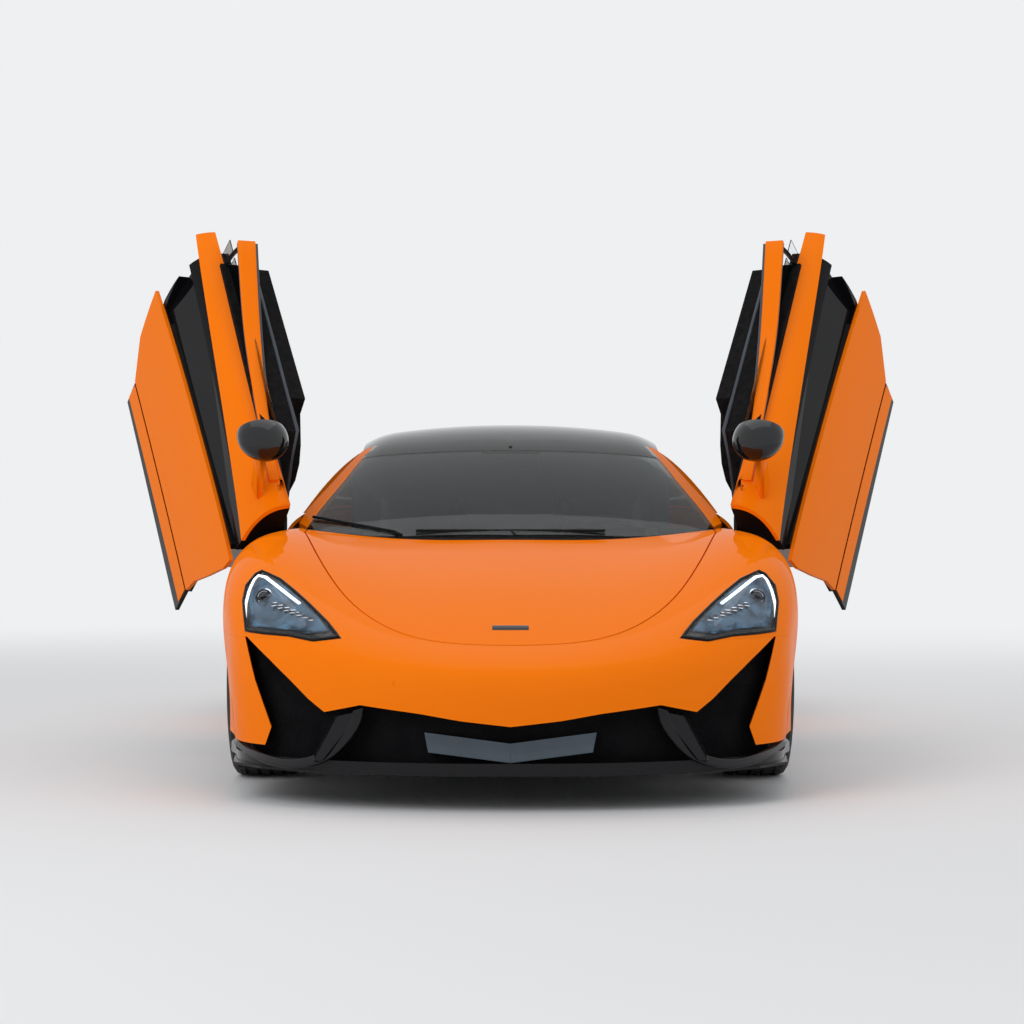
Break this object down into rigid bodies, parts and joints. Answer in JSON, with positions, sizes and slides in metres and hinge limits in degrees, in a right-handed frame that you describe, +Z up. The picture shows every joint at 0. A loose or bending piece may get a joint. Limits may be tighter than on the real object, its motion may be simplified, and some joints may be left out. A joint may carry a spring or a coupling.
{
  "type": "supercar",
  "caption": "Low mid-engined two-seat sports car in orange with a black roof, upward-swinging doors, steered front wheels and an opening front lid.",
  "frame": {"origin": "middle of the car's footprint box, at the floor under the tyres", "axes": "+Z up, -Y towards the nose, +X towards the car's left side"},
  "size_m": [2.9422, 4.5241, 1.9179],
  "materials": {
    "body_paint": "gloss",
    "black_trim": "matte",
    "gloss_black": "gloss",
    "glass": "gloss",
    "lamp_glass": "gloss",
    "lamp_red": "gloss",
    "tub_carbon": "satin",
    "seat_trim": "satin",
    "card_trim": "matte",
    "dash_trim": "matte",
    "tyre_rubber": "matte",
    "rim_alloy": "satin",
    "suspension_alloy": "satin",
    "engine_metal": "satin",
    "exhaust_steel": "satin"
  },
  "bodies": {
    "body": {"wing_left": "body_paint", "wing_right": "body_paint", "front_bumper": "body_paint", "canopy_frame": "body_paint", "quarter_left": "body_paint", "quarter_right": "body_paint", "rear_bumper": "body_paint", "front_splitter": "black_trim", "nose_backing": "black_trim", "tail_panel": "black_trim", "diffuser": "black_trim", "wipers": "black_trim", "wheel_liners": "black_trim", "roof": "gloss_black", "engine_cover": "gloss_black", "lamp_covers": "lamp_glass", "glazing": "glass", "tail_lamps": "lamp_red", "exhausts": "exhaust_steel", "tub": "tub_carbon", "seats": "seat_trim", "dashboard": "dash_trim", "engine_block": "engine_metal", "front_suspension": "suspension_alloy", "rear_suspension": "suspension_alloy"},
    "bonnet": {"bonnet": "body_paint"},
    "steering_wheel": {"steering_wheel": "dash_trim"},
    "knuckle_left": {"knuckle_left": "suspension_alloy"},
    "knuckle_right": {"knuckle_right": "suspension_alloy"},
    "door_left": {"door_skin_left": "body_paint", "door_frame_left": "black_trim", "door_card_left": "card_trim", "door_glass_left": "glass", "mirror_left": "gloss_black"},
    "wheel_front_left": {"tyre_front_left": "tyre_rubber", "rim_front_left": "rim_alloy"},
    "wheel_rear_left": {"tyre_rear_left": "tyre_rubber", "rim_rear_left": "rim_alloy"},
    "door_right": {"door_skin_right": "body_paint", "door_frame_right": "black_trim", "door_card_right": "card_trim", "door_glass_right": "glass", "mirror_right": "gloss_black"},
    "wheel_front_right": {"tyre_front_right": "tyre_rubber", "rim_front_right": "rim_alloy"},
    "wheel_rear_right": {"tyre_rear_right": "tyre_rubber", "rim_rear_right": "rim_alloy"}
  },
  "joints": [
    {"name": "bonnet_hinge", "type": "hinge", "parent": "body", "child": "bonnet", "pos_m": [0, -0.93, 0.783], "axis": [-1, 0, 0], "range_deg": [0, 45]},
    {"name": "door_hinge_left", "type": "hinge", "parent": "body", "child": "door_left", "pos_m": [0.798, -0.902, 0.731], "axis": [-0.8537, 0.2789, 0.4398], "range_deg": [0, 57.5]},
    {"name": "steer_left", "type": "hinge", "parent": "body", "child": "knuckle_left", "pos_m": [0.69, -1.165, 0.32], "axis": [0, 0, 1], "range_deg": [-28, 28]},
    {"name": "spin_front_left", "type": "hinge", "parent": "knuckle_left", "child": "wheel_front_left", "pos_m": [0.815, -1.165, 0.32], "axis": [1, 0, 0], "continuous": true},
    {"name": "spin_rear_left", "type": "hinge", "parent": "body", "child": "wheel_rear_left", "pos_m": [0.803, 1.505, 0.354], "axis": [1, 0, 0], "continuous": true},
    {"name": "door_hinge_right", "type": "hinge", "parent": "body", "child": "door_right", "pos_m": [-0.798, -0.902, 0.731], "axis": [-0.8537, -0.2789, -0.4398], "range_deg": [0, 57.5]},
    {"name": "steer_right", "type": "hinge", "parent": "body", "child": "knuckle_right", "pos_m": [-0.69, -1.165, 0.32], "axis": [0, 0, 1], "range_deg": [-28, 28]},
    {"name": "spin_front_right", "type": "hinge", "parent": "knuckle_right", "child": "wheel_front_right", "pos_m": [-0.815, -1.165, 0.32], "axis": [1, 0, 0], "continuous": true},
    {"name": "spin_rear_right", "type": "hinge", "parent": "body", "child": "wheel_rear_right", "pos_m": [-0.803, 1.505, 0.354], "axis": [1, 0, 0], "continuous": true},
    {"name": "steering_wheel_turn", "type": "hinge", "parent": "body", "child": "steering_wheel", "pos_m": [0.36, -0.25, 0.69], "axis": [0, 0.9207, 0.3903], "range_deg": [-420, 420]}
  ],
  "couplings": [
    {"joint": "steer_right", "follows": "steer_left", "ratio": 1},
    {"joint": "steering_wheel_turn", "follows": "steer_left", "ratio": 15}
  ]
}
